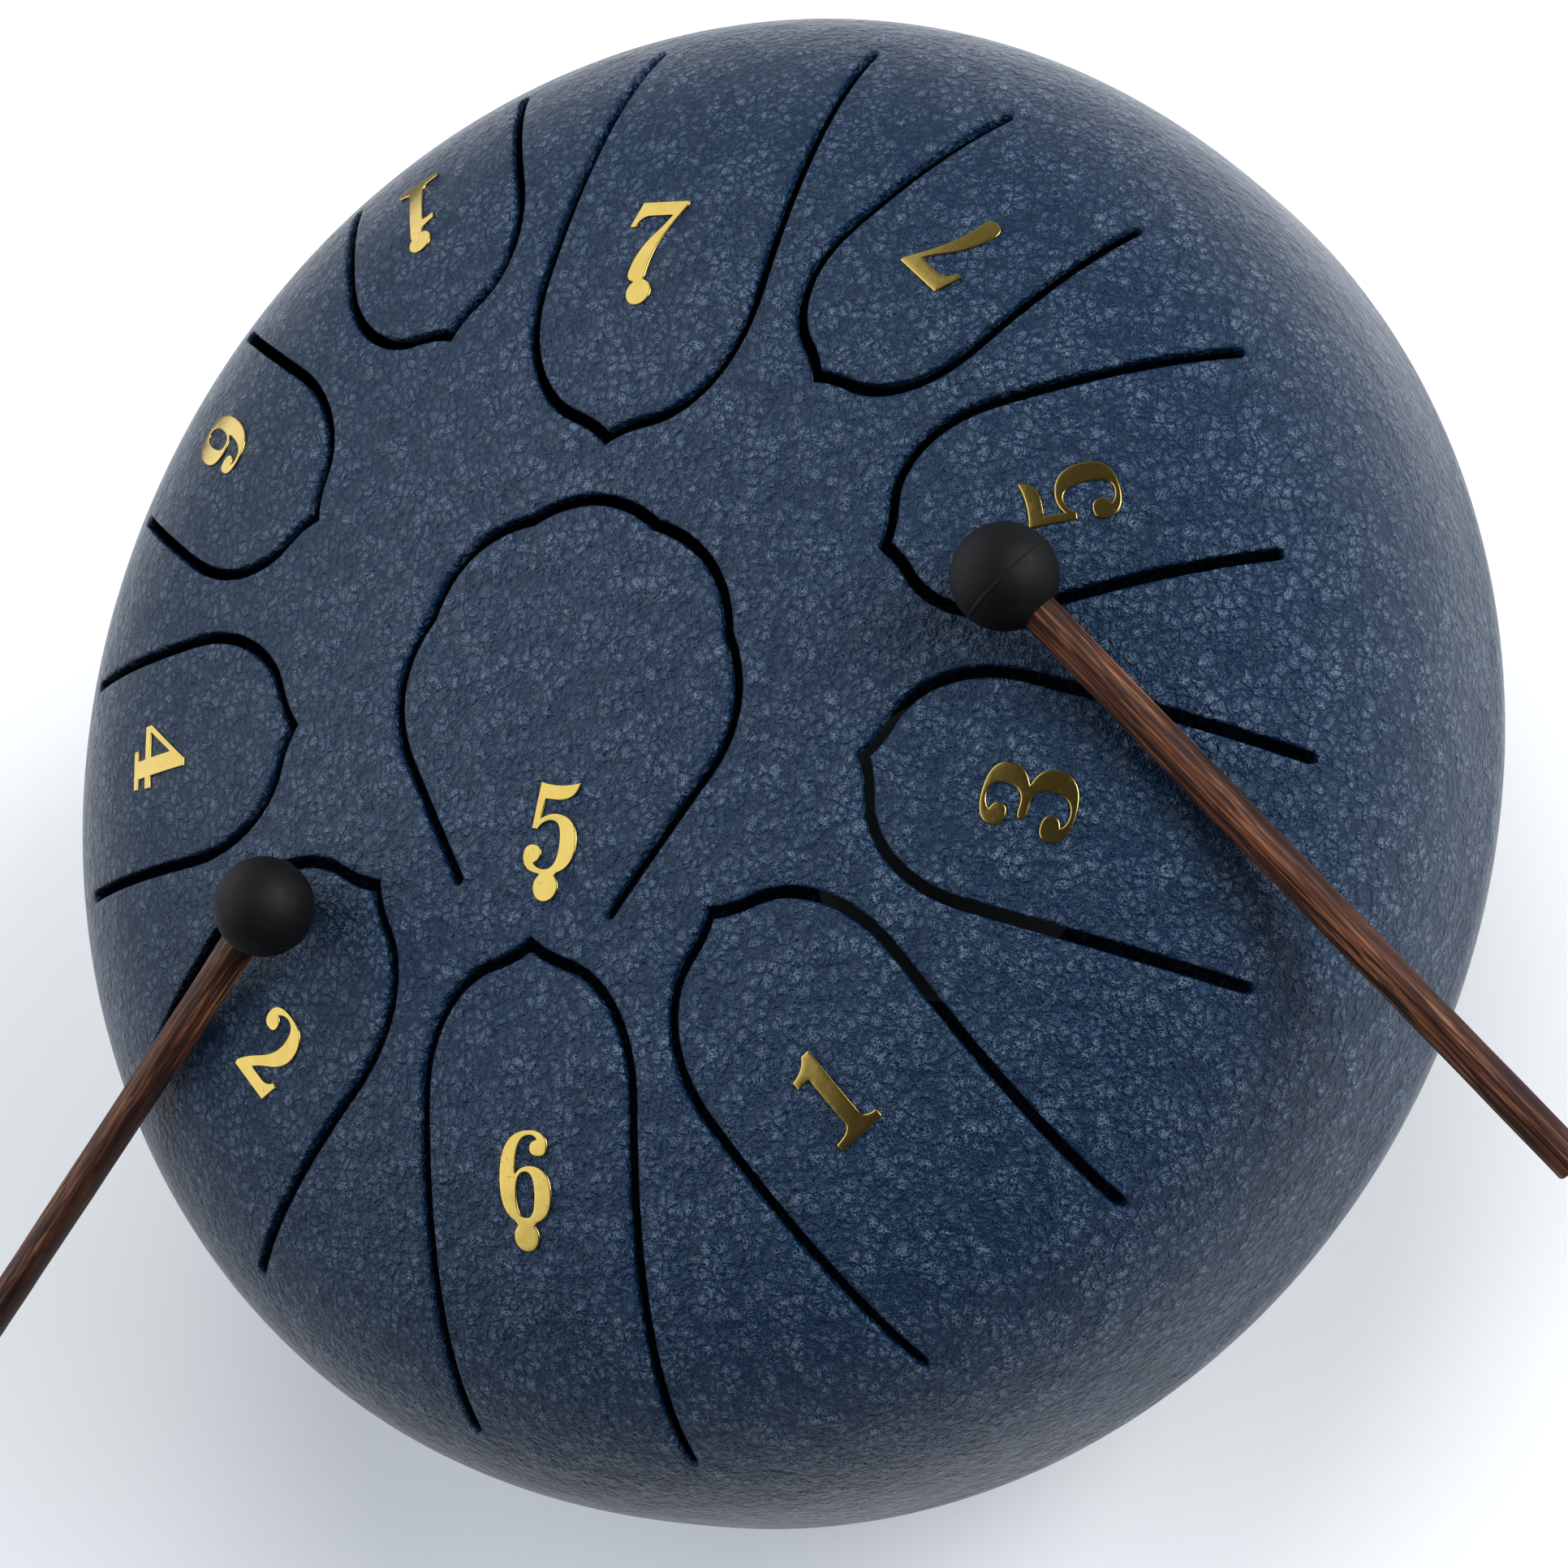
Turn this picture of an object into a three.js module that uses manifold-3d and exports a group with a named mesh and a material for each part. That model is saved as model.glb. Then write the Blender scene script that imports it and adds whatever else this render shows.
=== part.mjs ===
// A steel tongue drum with its pair of mallets, in millimetres, +Z up.
// The origin is on the drum's axis, level with the undersides of its rubber feet. The two mallets lie
// across the drum with their handles over its -Y side. Angles are in degrees, anticlockwise from +X
// as seen from above.
import * as THREE from 'three';
import { mergeVertices } from 'three/addons/utils/BufferGeometryUtils.js';
import Module from 'manifold-3d';

const wasm = await Module();
wasm.setup();

// Driving dimensions
const SHELL_RADIUS = 127;
const SHELL_THICKNESS = 2;
const EQUATOR_HEIGHT = 66;
const GAP = 0.3;

// Each bowl is a superellipse turned about the axis: (r / radius)^across + (z / depth)^up = 1.
const TOP_BOWL = { depth: 73, across: 2.9, up: 3.3 };
const BOTTOM_BOWL = { depth: 65, across: 1.95, up: 1.8 };
const BOWL_STEPS = 10;
const BOWL_SEGMENTS = 64;

const WELD_HEIGHT = 1.8;
const WELD_DEPTH = 2.8;

const SOUND_HOLE_RADIUS = 30;

const FOOT_CIRCLE_RADIUS = 52;
const FOOT_RADIUS = 9;
const FOOT_ANGLES = [90, 210, 330];

const SLIT_WIDTH = 1.9;

// The ring of tongues: where each one's tip lies along its own direction, where its right and left slits
// end (seen from the tip), and its half width.
const TONGUES = [
  { note: 'low_6', angle: -96.4, tip: 41.9, ends: [114.7, 117], halfWidth: 19.1 },
  { note: '1', angle: -56.2, tip: 48.7, ends: [115, 115.5], halfWidth: 19.5 },
  { note: '3', angle: -20.2, tip: 56.7, ends: [115.2, 115], halfWidth: 17.4 },
  { note: '5', angle: 12, tip: 58.7, ends: [111, 112.6], halfWidth: 16.7 },
  { note: '7', angle: 41.9, tip: 61.9, ends: [109.4, 109.6], halfWidth: 15.9 },
  { note: 'low_7', angle: 76, tip: 38.8, ends: [110.3, 110], halfWidth: 20.5 },
  { note: 'high_1', angle: 109.9, tip: 66.2, ends: [110.8, 109], halfWidth: 18.1 },
  { note: '6', angle: 143.9, tip: 60.2, ends: [107.5, 106], halfWidth: 18.4 },
  { note: '4', angle: 179.8, tip: 51.6, ends: [106.5, 105.5], halfWidth: 18.9 },
  { note: '2', angle: 220, tip: 44.6, ends: [109, 107.8], halfWidth: 20.1 },
];

// The centre tongue is a round leaf with a scalloped edge, on a neck that points at the low 6.
const CENTRE_TONGUE = {
  angle: -101.8,
  centre: { x: 1.8, y: -3.1 },
  radius: 30,
  scallop: 1.4,
  scallopAngle: 45.5,
  neckEnds: [{ along: 30.2, sideways: -13.9 }, { along: 33.1, sideways: 15.1 }],
};

const STICKER_THICKNESS = 0.3;
const DIGIT_HEIGHT = 14.5;
const DOT_RADIUS = 2.3;
const DOT_OFFSET = 1.9;

// Where each number sits: its distance from the axis, and the way its top points.
const STICKERS = [
  { note: 'low_5', digit: '5', angle: -89.8, distance: 24.2, topPoints: 80.5, dot: 'below' },
  { note: 'low_6', digit: '6', angle: -96.3, distance: 77.1, topPoints: 82.5, dot: 'below' },
  { note: '1', digit: '1', angle: -57.3, distance: 82, topPoints: 125.3 },
  { note: '3', digit: '3', angle: -20.4, distance: 83.1, topPoints: 160.3 },
  { note: '5', digit: '5', angle: 10.8, distance: 87.2, topPoints: 192.5 },
  { note: '7', digit: '7', angle: 41.5, distance: 90, topPoints: 222 },
  { note: 'low_7', digit: '7', angle: 77.4, distance: 72.3, topPoints: 80, dot: 'below' },
  { note: 'high_1', digit: '1', angle: 111.3, distance: 96.9, topPoints: 290.5, dot: 'above' },
  { note: '6', digit: '6', angle: 143.2, distance: 92, topPoints: 324 },
  { note: '4', digit: '4', angle: 179, distance: 83.7, topPoints: 0 },
  { note: '2', digit: '2', angle: 221.9, distance: 77.7, topPoints: 40.5 },
];

// Serif digits drawn 100 units tall from their baseline, then scaled to the width given in mm.
// M moves, L draws a line and Q a quadratic curve.
const DIGITS = {
  1: {
    width: 8.8,
    outline: 'M 2 0 L 60 0 L 60 9 Q 45 10 44 18 L 44 100 L 33 100 Q 26 88 8 86 L 8 75 Q 18 78 24 76 ' +
      'L 24 18 Q 22 10 2 9',
  },
  2: {
    width: 10.2,
    outline: 'M 2 0 L 55 0 L 62 25 L 56 27 Q 51 17 43 17 L 24 17 Q 32 27 43 36 Q 61 52 61 71 ' +
      'Q 61 100 32 100 Q 5 100 5 80 Q 5 67 15 67 Q 25 67 25 77 Q 25 84 18 87 Q 23 94 31 94 ' +
      'Q 43 93 42 72 Q 41 54 25 36 Q 8 18 2 6',
  },
  3: {
    width: 11.4,
    outline: 'M 29 0 Q 60 0 60 28 Q 60 47 43 53 Q 57 60 57 77 Q 57 100 30 100 Q 5 100 5 81 ' +
      'Q 5 69 15 69 Q 24 69 24 78 Q 24 85 17 88 Q 21 94 29 94 Q 40 93 40 76 Q 40 59 28 58 L 20 58 ' +
      'Q 15 58 15 53 Q 15 48 20 48 L 28 48 Q 42 48 42 28 Q 42 7 28 6 Q 19 6 16 12 Q 24 14 24 22 ' +
      'Q 24 32 13 32 Q 3 32 3 20 Q 3 0 29 0',
  },
  4: {
    width: 10.6,
    outline: 'M 22 0 L 62 0 L 62 8 L 52 9 L 52 23 L 64 23 L 64 34 L 52 34 L 52 100 L 44 100 L 0 35 ' +
      'L 0 23 L 33 23 L 33 9 L 22 8',
    hole: 'M 33 34 L 33 72 L 8 34',
  },
  5: {
    width: 10.2,
    outline: 'M 12 100 Q 34 93 57 100 Q 55 80 34 80 L 20 81 L 17 60 Q 24 66 34 66 Q 60 64 60 33 ' +
      'Q 60 0 28 0 Q 2 0 2 20 Q 2 32 12 32 Q 22 32 22 22 Q 22 15 15 12 Q 19 6 28 6 Q 41 7 41 33 ' +
      'Q 41 58 30 58 Q 20 58 15 48 L 8 49',
  },
  6: {
    width: 10.2,
    outline: 'M 31 0 Q 60 0 60 32 Q 60 62 37 62 Q 26 62 20 53 Q 20 94 37 94 Q 42 94 44 90 ' +
      'Q 36 88 36 81 Q 36 72 46 72 Q 56 72 56 83 Q 56 100 37 100 Q 2 100 2 46 Q 2 0 31 0',
    hole: 'M 31 7 Q 41 7 41 31 Q 41 55 32 55 Q 21 55 21 31 Q 21 7 31 7',
  },
  7: {
    width: 10.4,
    outline: 'M 10 100 L 62 100 L 62 95 Q 44 62 38 40 Q 34 22 34 9 Q 34 0 24 0 Q 14 0 14 11 ' +
      'Q 16 36 31 57 Q 41 70 47 82 L 24 82 Q 13 82 9 68 L 2 69',
  },
};
const DIGIT_UNITS = { width: 62, height: 100 };
const DIGIT_CURVE_STEPS = 3;

const HEAD_RADIUS = 8;
const STICK_RADIUS = 2.9;
const STICK_INSIDE_HEAD = 3;
const MALLET_LENGTH = 116.5;
const STICK_CHAMFER = 0.5;
const MALLETS = [
  { side: 'right', angle: 1.6, distance: 79.7, handlePoints: -53 },
  { side: 'left', angle: 211.8, distance: 59.6, handlePoints: 211.7 },
];

const MATERIALS = {
  shell: new THREE.MeshStandardMaterial({ color: 0x2b3f59, roughness: 0.55, metalness: 0.2 }),
  weld: new THREE.MeshStandardMaterial({ color: 0x2b3f59, roughness: 0.6, metalness: 0.2 }),
  rubber: new THREE.MeshStandardMaterial({ color: 0x1c1b1c, roughness: 0.75, metalness: 0 }),
  wood: new THREE.MeshStandardMaterial({ color: 0x593a2e, roughness: 0.6, metalness: 0 }),
  foil: new THREE.MeshStandardMaterial({ color: 0xd9b45a, roughness: 0.25, metalness: 1 }),
};

const radians = THREE.MathUtils.degToRad;

// A point at a distance from the drum's axis, in plan.
function planPoint(angle, distance, sideways = 0) {
  const a = radians(angle);
  return new THREE.Vector2(
    distance * Math.cos(a) - sideways * Math.sin(a),
    distance * Math.sin(a) + sideways * Math.cos(a),
  );
}

// Solids

function toSolid(geometry) {
  const bare = geometry.clone();
  bare.deleteAttribute('normal');
  bare.deleteAttribute('uv');
  const merged = mergeVertices(bare, 1e-3);
  return new wasm.Manifold(new wasm.Mesh({
    numProp: 3,
    vertProperties: new Float32Array(merged.attributes.position.array),
    triVerts: new Uint32Array(merged.index.array),
  }));
}

function toGeometry(solid) {
  const mesh = solid.getMesh();
  const geometry = new THREE.BufferGeometry();
  geometry.setAttribute('position', new THREE.BufferAttribute(mesh.vertProperties, 3));
  geometry.setIndex(new THREE.BufferAttribute(mesh.triVerts, 1));
  geometry.computeVertexNormals();
  return geometry;
}

// A profile of [radius, height] points turned about the drum's axis.
function turned(profile, segments) {
  const points = profile.map(([r, z]) => new THREE.Vector2(r, z));
  return new THREE.LatheGeometry(points, segments).rotateX(Math.PI / 2);
}

function prism(shape, bottom, height, curveSegments = 1) {
  const options = { depth: height, bevelEnabled: false, curveSegments };
  return new THREE.ExtrudeGeometry(shape, options).translate(0, 0, bottom);
}

// Bowl profiles. They are worked out with the equator at height 0 and the bowl opening downwards.

function bowlPoint(bowl, fraction) {
  const a = fraction * Math.PI / 2;
  const r = SHELL_RADIUS * Math.cos(a) ** (2 / bowl.across);
  const z = bowl.depth * Math.sin(a) ** (2 / bowl.up);
  return fraction === 1 ? [0, bowl.depth] : [r, z];
}

function bowlNormal(bowl, [r, z]) {
  const across = bowl.across / SHELL_RADIUS * (r / SHELL_RADIUS) ** (bowl.across - 1);
  const up = bowl.up / bowl.depth * (z / bowl.depth) ** (bowl.up - 1);
  const length = Math.hypot(across, up);
  return [across / length, up / length];
}

// The bowl's face, moved outwards by a distance, from a height near the equator up to the axis.
function bowlFace(bowl, outwards, lowest, innermost = 0) {
  const points = [];
  for (let i = 0; i <= BOWL_STEPS; i++) {
    const point = bowlPoint(bowl, i / BOWL_STEPS);
    const normal = bowlNormal(bowl, point);
    const r = point[0] + outwards * normal[0];
    const z = point[1] + outwards * normal[1];
    points.push([Math.max(r, innermost), Math.max(z, lowest)]);
  }
  return points;
}

function bowlHeight(bowl, r) {
  return bowl.depth * (1 - (r / SHELL_RADIUS) ** bowl.across) ** (1 / bowl.up);
}

// The top bowl and its tongues

function tongueLine({ angle, tip, ends, halfWidth }) {
  // The tip is an ogee: a short hollow curve from the point, then a long shoulder into the side.
  const slit = (end, side) => {
    const path = new THREE.Path();
    path.moveTo(0, 0);
    path.quadraticCurveTo(0.1, 0.12, 0.17, 0.36);
    path.bezierCurveTo(0.25, 0.66, 0.62, 1, 1.25, 1);
    path.lineTo((end - tip) / halfWidth, 1);
    return path.getPoints(5).map((p) => planPoint(angle, tip + p.x * halfWidth, side * p.y * halfWidth));
  };
  const [right, left] = [slit(ends[0], -1), slit(ends[1], 1)];
  return [...right.reverse(), ...left.slice(1)];
}

function centreTongueLine() {
  const { angle, centre, radius, scallop, scallopAngle, neckEnds } = CENTRE_TONGUE;
  const reach = 2.5 * scallopAngle;
  const stepsPerScallop = 6;
  const steps = 5 * stepsPerScallop;
  const points = [];
  for (let i = 0; i <= steps; i++) {
    const fromTip = -reach + 2 * reach * i / steps;
    const edge = radius + scallop * Math.abs(Math.cos(Math.PI * fromTip / scallopAngle));
    const a = radians(fromTip);
    points.push(new THREE.Vector2(-edge * Math.cos(a), edge * Math.sin(a)));
  }
  const [right, left] = neckEnds.map(({ along, sideways }) => new THREE.Vector2(along, sideways));
  return [right, ...points, left].map((p) => planPoint(angle, p.x, p.y).add(centre));
}

// A strip of the slit's width that follows a line.
function slitShape(line) {
  const sides = [[], []];
  line.forEach((point, i) => {
    const before = line[Math.max(i - 1, 0)];
    const after = line[Math.min(i + 1, line.length - 1)];
    const towards = after.clone().sub(before).normalize();
    const incoming = point.clone().sub(before).normalize();
    const spread = i > 0 && i < line.length - 1 ? Math.max(Math.abs(towards.dot(incoming)), 0.5) : 1;
    const across = new THREE.Vector2(-towards.y, towards.x).multiplyScalar(SLIT_WIDTH / 2 / spread);
    sides[0].push(point.clone().add(across));
    sides[1].unshift(point.clone().sub(across));
  });
  return new THREE.Shape([...sides[0], ...sides[1]]);
}

function makeTopShell() {
  const edge = WELD_HEIGHT / 2 + GAP;
  const inner = bowlFace(TOP_BOWL, -SHELL_THICKNESS, edge).reverse();
  const outer = bowlFace(TOP_BOWL, 0, edge);
  inner[0][0] = 0;
  let shell = toSolid(turned([...inner, ...outer], BOWL_SEGMENTS));
  for (const line of [centreTongueLine(), ...TONGUES.map(tongueLine)]) {
    const cutter = toSolid(prism(slitShape(line), 10, TOP_BOWL.depth));
    shell = shell.subtract(cutter);
  }
  return toGeometry(shell).translate(0, 0, EQUATOR_HEIGHT);
}

// The bottom bowl, its weld and its feet

function upsideDown(profile) {
  return profile.map(([r, z]) => [r, -z]).reverse();
}

function makeBottomShell() {
  const edge = WELD_HEIGHT / 2 + GAP;
  const outer = bowlFace(BOTTOM_BOWL, 0, edge, SOUND_HOLE_RADIUS);
  const inner = bowlFace(BOTTOM_BOWL, -SHELL_THICKNESS, edge, SOUND_HOLE_RADIUS);
  const holeTop = bowlHeight(BOTTOM_BOWL, SOUND_HOLE_RADIUS);
  const keep = ([r]) => r > SOUND_HOLE_RADIUS;
  const outerWall = [...outer.filter(keep), [SOUND_HOLE_RADIUS, holeTop]];
  const innerWall = [...inner.filter(keep), [SOUND_HOLE_RADIUS, holeTop - SHELL_THICKNESS]];
  const loop = [...outerWall, ...innerWall.reverse()];
  return turned(upsideDown([...loop, loop[0]]), BOWL_SEGMENTS).translate(0, 0, EQUATOR_HEIGHT);
}

// The weld bead that joins the two bowls, ground flush outside and proud inside.
function makeEquatorWeld() {
  const half = WELD_HEIGHT / 2;
  const inside = SHELL_RADIUS - WELD_DEPTH;
  const section = [
    [SHELL_RADIUS, -half],
    [SHELL_RADIUS, half],
    [inside, half],
    [inside, -half],
    [SHELL_RADIUS, -half],
  ];
  return turned(section, BOWL_SEGMENTS).translate(0, 0, EQUATOR_HEIGHT);
}

function makeFoot(angle) {
  const bevel = 0.8;
  const top = 14;
  const profile = [
    [0, 0],
    [FOOT_RADIUS - bevel, 0],
    [FOOT_RADIUS, bevel],
    [FOOT_RADIUS - bevel, top],
    [0, top],
  ];
  const place = planPoint(angle, FOOT_CIRCLE_RADIUS);
  const block = toSolid(turned(profile, 24).translate(place.x, place.y, 0));
  const face = bowlFace(BOTTOM_BOWL, GAP, 0);
  face[BOWL_STEPS][0] = 0;
  const bowl = toSolid(turned(upsideDown([[0, 0], ...face]), BOWL_SEGMENTS).translate(0, 0, EQUATOR_HEIGHT));
  return toGeometry(block.subtract(bowl));
}

// The number stickers

function drawPath(path, text, unit) {
  const step = { M: 2, L: 2, Q: 4 };
  const call = { M: 'moveTo', L: 'lineTo', Q: 'quadraticCurveTo' };
  const words = text.split(' ');
  for (let i = 0; i < words.length; i += 1 + step[words[i]]) {
    const numbers = words.slice(i + 1, i + 1 + step[words[i]]).map(Number);
    path[call[words[i]]](...numbers.map((value, j) => value * (j % 2 ? unit.y : unit.x)));
  }
  return path;
}

function makeSticker({ digit, angle, distance, topPoints, dot }) {
  const { width, outline, hole } = DIGITS[digit];
  const unit = { x: width / DIGIT_UNITS.width, y: DIGIT_HEIGHT / DIGIT_UNITS.height };
  const shape = drawPath(new THREE.Shape(), outline, unit);
  if (hole) shape.holes.push(drawPath(new THREE.Path(), hole, unit));
  let plate = toSolid(prism(shape, 0, STICKER_THICKNESS, DIGIT_CURVE_STEPS));
  if (dot) {
    const height = dot === 'below' ? -DOT_OFFSET : DIGIT_HEIGHT + DOT_OFFSET;
    const disc = new THREE.Shape().absarc(width / 2, height, DOT_RADIUS, 0, 2 * Math.PI);
    plate = plate.add(toSolid(prism(disc, 0, STICKER_THICKNESS, 16)));
  }
  const geometry = toGeometry(plate).translate(-width / 2, -DIGIT_HEIGHT / 2, 0);
  return geometry.applyMatrix4(stickerPlace(angle, distance, topPoints));
}

// A frame that lies flat on the top bowl: its z axis stands on the surface, its y axis is the digit's up.
function stickerPlace(angle, distance, topPoints) {
  const plan = planPoint(angle, distance);
  const height = bowlHeight(TOP_BOWL, distance);
  const [across, up] = bowlNormal(TOP_BOWL, [distance, height]);
  const outwards = planPoint(angle, across);
  const normal = new THREE.Vector3(outwards.x, outwards.y, up);
  const top = planPoint(topPoints, 1);
  const digitRight = new THREE.Vector3(top.x, top.y, 0).cross(normal).normalize();
  const digitUp = normal.clone().cross(digitRight);
  const place = new THREE.Matrix4().makeBasis(digitRight, digitUp, normal);
  const foot = new THREE.Vector3(plan.x, plan.y, height + EQUATOR_HEIGHT).addScaledVector(normal, GAP);
  return place.setPosition(foot);
}

// The mallets. Each is made along +X with the centre of its head at the origin.

function makeHead() {
  const bore = STICK_RADIUS + GAP;
  const boreDepth = STICK_INSIDE_HEAD + GAP;
  const mouth = Math.sqrt(HEAD_RADIUS ** 2 - bore ** 2);
  const profile = [[0, -boreDepth], [bore, -boreDepth], [bore, mouth]];
  const steps = 10;
  const start = Math.asin(bore / HEAD_RADIUS);
  for (let i = 1; i <= steps; i++) {
    const a = start + (Math.PI - start) * i / steps;
    profile.push([i === steps ? 0 : HEAD_RADIUS * Math.sin(a), HEAD_RADIUS * Math.cos(a)]);
  }
  return turned(profile.reverse(), 24).rotateY(Math.PI / 2);
}

function makeStick() {
  const profile = [
    [0, -STICK_INSIDE_HEAD],
    [STICK_RADIUS - STICK_CHAMFER, -STICK_INSIDE_HEAD],
    [STICK_RADIUS, STICK_CHAMFER - STICK_INSIDE_HEAD],
    [STICK_RADIUS, MALLET_LENGTH - STICK_CHAMFER],
    [STICK_RADIUS - STICK_CHAMFER, MALLET_LENGTH],
    [0, MALLET_LENGTH],
  ];
  return turned(profile, 16).rotateY(Math.PI / 2);
}

// The distance from a point to the top bowl's outer face.
function clearance(point) {
  const r = Math.hypot(point.x, point.y);
  const z = point.z - EQUATOR_HEIGHT;
  const samples = 200;
  let nearest = Infinity;
  for (let i = 0; i <= samples; i++) {
    const [faceR, faceZ] = bowlPoint(TOP_BOWL, i / samples);
    nearest = Math.min(nearest, Math.hypot(r - faceR, z - faceZ));
  }
  return nearest;
}

// The head rests on the drum, and the stick tilts down until it rests on the drum's shoulder.
function malletPlace({ angle, distance, handlePoints }) {
  const plan = planPoint(angle, distance);
  const head = new THREE.Vector3(plan.x, plan.y, EQUATOR_HEIGHT + bowlHeight(TOP_BOWL, distance));
  while (clearance(head) < HEAD_RADIUS + GAP) head.z += 0.01;
  const heading = planPoint(handlePoints, 1);
  const aim = (tilt) => new THREE.Vector3(
    heading.x * Math.cos(tilt),
    heading.y * Math.cos(tilt),
    -Math.sin(tilt),
  );
  const touches = (tilt) => {
    for (let along = 2 * HEAD_RADIUS; along <= MALLET_LENGTH; along += 2) {
      if (clearance(head.clone().addScaledVector(aim(tilt), along)) < STICK_RADIUS + GAP) return true;
    }
    return false;
  };
  let tilt = 0;
  while (!touches(tilt + 0.001)) tilt += 0.001;
  const along = aim(tilt);
  const sideways = new THREE.Vector3(0, 0, 1).cross(along).normalize();
  const upwards = along.clone().cross(sideways);
  return new THREE.Matrix4().makeBasis(along, sideways, upwards).setPosition(head);
}

// Assembly

const drum = new THREE.Group();

function addPiece(name, geometry, material, parent = drum) {
  const mesh = new THREE.Mesh(geometry, material);
  mesh.name = name;
  parent.add(mesh);
  return mesh;
}

addPiece('top_shell', makeTopShell(), MATERIALS.shell);
addPiece('bottom_shell', makeBottomShell(), MATERIALS.shell);
addPiece('equator_weld', makeEquatorWeld(), MATERIALS.weld);
FOOT_ANGLES.forEach((angle, i) => addPiece(`foot_${i + 1}`, makeFoot(angle), MATERIALS.rubber));
STICKERS.forEach((sticker) => addPiece(`sticker_${sticker.note}`, makeSticker(sticker), MATERIALS.foil));
for (const mallet of MALLETS) {
  const group = new THREE.Group();
  group.applyMatrix4(malletPlace(mallet));
  addPiece(`${mallet.side}_mallet_head`, makeHead(), MATERIALS.rubber, group);
  addPiece(`${mallet.side}_mallet_stick`, makeStick(), MATERIALS.wood, group);
  drum.add(group);
}

export default drum;
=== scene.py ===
"""A steel tongue drum with its pair of mallets, finished around the CAD frame.

Lengths are in metres, and MM turns millimetres into them. The drum's axis is the Z axis. Angles are in
degrees, anticlockwise from +X as seen from above.
"""
import math

import bpy
import numpy as np
from mathutils import Matrix, Vector
from mathutils.geometry import delaunay_2d_cdt


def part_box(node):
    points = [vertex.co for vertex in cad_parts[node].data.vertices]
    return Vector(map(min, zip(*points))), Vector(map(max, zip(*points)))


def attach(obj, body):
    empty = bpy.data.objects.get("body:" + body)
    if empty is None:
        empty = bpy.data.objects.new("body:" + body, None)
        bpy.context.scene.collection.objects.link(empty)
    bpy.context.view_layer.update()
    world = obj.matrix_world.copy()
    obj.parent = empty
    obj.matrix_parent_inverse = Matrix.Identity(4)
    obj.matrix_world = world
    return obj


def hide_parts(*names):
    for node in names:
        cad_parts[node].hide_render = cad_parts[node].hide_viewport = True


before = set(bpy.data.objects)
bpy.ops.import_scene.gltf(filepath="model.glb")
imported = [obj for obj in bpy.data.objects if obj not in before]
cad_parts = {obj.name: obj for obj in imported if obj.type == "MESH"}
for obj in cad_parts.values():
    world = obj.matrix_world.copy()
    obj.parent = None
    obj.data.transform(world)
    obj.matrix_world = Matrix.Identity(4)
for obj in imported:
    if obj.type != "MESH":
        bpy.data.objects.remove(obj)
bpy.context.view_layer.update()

MM = 0.001

# ---------------------------------------------------------------- dimensions

_, top_high = (Vector(c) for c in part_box("top_shell"))
weld_low, weld_high = (Vector(c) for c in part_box("equator_weld"))

SHELL_RADIUS = top_high.x
SHELL_THICKNESS = 2 * MM
EQUATOR = (weld_low.z + weld_high.z) / 2

# Each bowl is a superellipse turned about the axis: (r / radius)^across + (z / depth)^up = 1.
TOP_BOWL = {"depth": top_high.z - EQUATOR, "across": 2.9, "up": 3.3}
BOTTOM_BOWL = {"depth": 65 * MM, "across": 1.95, "up": 1.8}
SOUND_HOLE_RADIUS = 30 * MM
WELD_DEPTH = 2.8 * MM

SLIT_WIDTH = 1.9 * MM
MESH_STEP = 2.2 * MM
TURNED_SEGMENTS = 256
SHARP_ANGLE = 40

# The ring of tongues: (angle, tip radius, (right slit's end, left slit's end), half width), in millimetres.
TONGUES = [
    (-96.4, 41.9, (114.7, 117), 19.1),
    (-56.2, 48.7, (115, 115.5), 19.5),
    (-20.2, 56.7, (115.2, 115), 17.4),
    (12, 58.7, (111, 112.6), 16.7),
    (41.9, 61.9, (109.4, 109.6), 15.9),
    (76, 38.8, (110.3, 110), 20.5),
    (109.9, 66.2, (110.8, 109), 18.1),
    (143.9, 60.2, (107.5, 106), 18.4),
    (179.8, 51.6, (106.5, 105.5), 18.9),
    (220, 44.6, (109, 107.8), 20.1),
]

# The centre tongue: a round leaf with a scalloped edge, on a neck that points at the low 6.
CENTRE_ANGLE = -101.8
CENTRE_PLACE = (1.8 * MM, -3.1 * MM)
CENTRE_RADIUS = 30 * MM
CENTRE_SCALLOP = 1.4 * MM
CENTRE_SCALLOP_ANGLE = 45.5
CENTRE_NECK_ENDS = [(30.2 * MM, -13.9 * MM), (33.1 * MM, 15.1 * MM)]

DIGIT_HEIGHT = 14.5 * MM
DOT_RADIUS = 2.3 * MM
DOT_OFFSET = 1.9 * MM
STICKER_THICKNESS = 0.28 * MM

# (node, digit, angle, distance from the axis in mm, the way the digit's top points, dot)
STICKERS = [
    ("sticker_low_5", "5", -89.8, 24.2, 80.5, "below"),
    ("sticker_low_6", "6", -96.3, 77.1, 82.5, "below"),
    ("sticker_1", "1", -57.3, 82, 125.3, None),
    ("sticker_3", "3", -20.4, 83.1, 160.3, None),
    ("sticker_5", "5", 10.8, 87.2, 192.5, None),
    ("sticker_7", "7", 41.5, 90, 222, None),
    ("sticker_low_7", "7", 77.4, 72.3, 80, "below"),
    ("sticker_high_1", "1", 111.3, 96.9, 290.5, "above"),
    ("sticker_6", "6", 143.2, 92, 324, None),
    ("sticker_4", "4", 179, 83.7, 0, None),
    ("sticker_2", "2", 221.9, 77.7, 40.5, None),
]

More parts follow.
